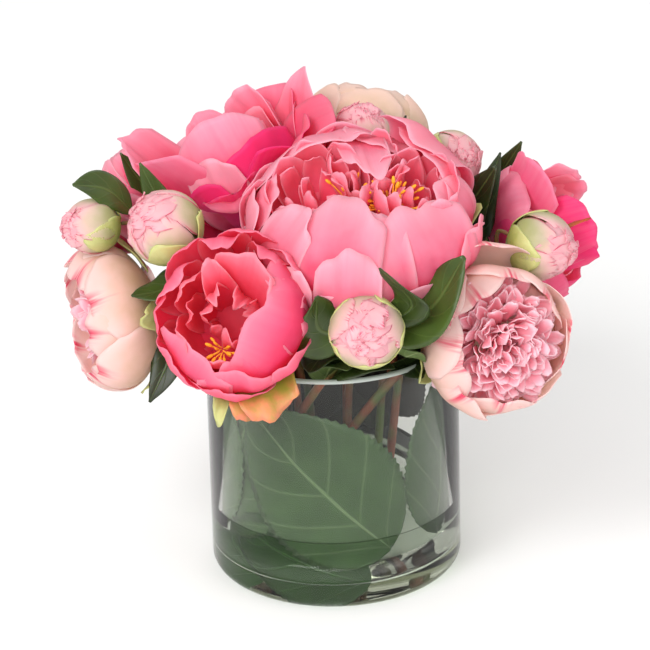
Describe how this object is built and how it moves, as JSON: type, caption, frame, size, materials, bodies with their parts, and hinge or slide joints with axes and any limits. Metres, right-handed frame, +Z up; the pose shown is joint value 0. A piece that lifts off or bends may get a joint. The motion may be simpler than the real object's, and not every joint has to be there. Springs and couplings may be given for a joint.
{
  "type": "vase of peonies",
  "caption": "Rounded arrangement of open peonies, half-open heads, buds and leaves standing in shallow water in a clear glass cylinder vase.",
  "frame": {"origin": "middle of the vase's underside", "axes": "+Z up, out of the vase's mouth; -Y towards the front, where the front bud and the cerise bloom face"},
  "size_m": [0.3396, 0.2984, 0.3008],
  "materials": {
    "glass": "clear, polished",
    "water": "clear, still",
    "coral_petal": "soft satin petal, paler at its edge",
    "rose_petal": "soft satin petal",
    "cerise_petal": "soft satin petal, deeper inside",
    "blush_petal": "soft satin petal with pink streaks",
    "heart_petal": "soft satin petal, narrow and toothed",
    "bud_petal": "soft satin petal with pink cracks, lime sepals",
    "stem": "smooth reddish-brown bark",
    "leaf": "semi-matt leaf with a paler underside"
  },
  "bodies": {
    "root": {"back_bud": "bud_petal", "back_left_leaf": "leaf", "back_middle_leaf": "leaf", "back_right_leaf": "leaf", "blush_back_stem": "stem", "blush_bloom_back_guard_petals": "blush_petal", "blush_bloom_back_inner_petals": "heart_petal", "blush_bloom_left_guard_petals": "blush_petal", "blush_bloom_left_inner_petals": "heart_petal", "blush_bloom_right_guard_petals": "blush_petal", "blush_bloom_right_inner_petals": "heart_petal", "blush_left_stem": "stem", "blush_right_stem": "stem", "centre_left_leaf": "leaf", "cerise_bloom_guard_petals": "cerise_petal", "cerise_bloom_inner_petals": "cerise_petal", "cerise_bloom_stem": "stem", "coral_bloom_guard_petals": "coral_petal", "coral_bloom_inner_petals": "coral_petal", "coral_bloom_stem": "stem", "crown_bud": "bud_petal", "crown_leaf": "leaf", "far_left_bud": "bud_petal", "far_right_leaf": "leaf", "front_bud": "bud_petal", "front_bud_stem": "stem", "front_right_leaf": "leaf", "front_wall_leaf": "leaf", "half_open_coral": "coral_petal", "half_open_coral_stem": "stem", "half_open_rose": "rose_petal", "left_bud": "bud_petal", "left_bud_stem": "stem", "left_dark_leaf": "leaf", "left_low_leaf": "leaf", "left_middle_leaf": "leaf", "left_top_leaf": "leaf", "left_upright_leaf": "leaf", "left_wall_leaf": "leaf", "peach_back_stem": "stem", "peach_bloom_back_guard_petals": "blush_petal", "peach_bloom_back_inner_petals": "heart_petal", "right_bud": "bud_petal", "right_wall_leaf": "leaf", "rim_right_leaf": "leaf", "rose_back_stem": "stem", "rose_bloom_back_guard_petals": "rose_petal", "rose_bloom_back_inner_petals": "rose_petal", "rose_bloom_right_guard_petals": "rose_petal", "rose_bloom_right_inner_petals": "rose_petal", "rose_right_stem": "stem", "ruffled_bloom_guard_petals": "rose_petal", "ruffled_bloom_inner_petals": "rose_petal", "ruffled_bloom_stem": "stem", "tall_right_leaf": "leaf", "twisted_leaf": "leaf", "upper_right_bud": "bud_petal", "upper_right_leaf": "leaf", "vase": "glass", "water": "water"}
  },
  "joints": []
}
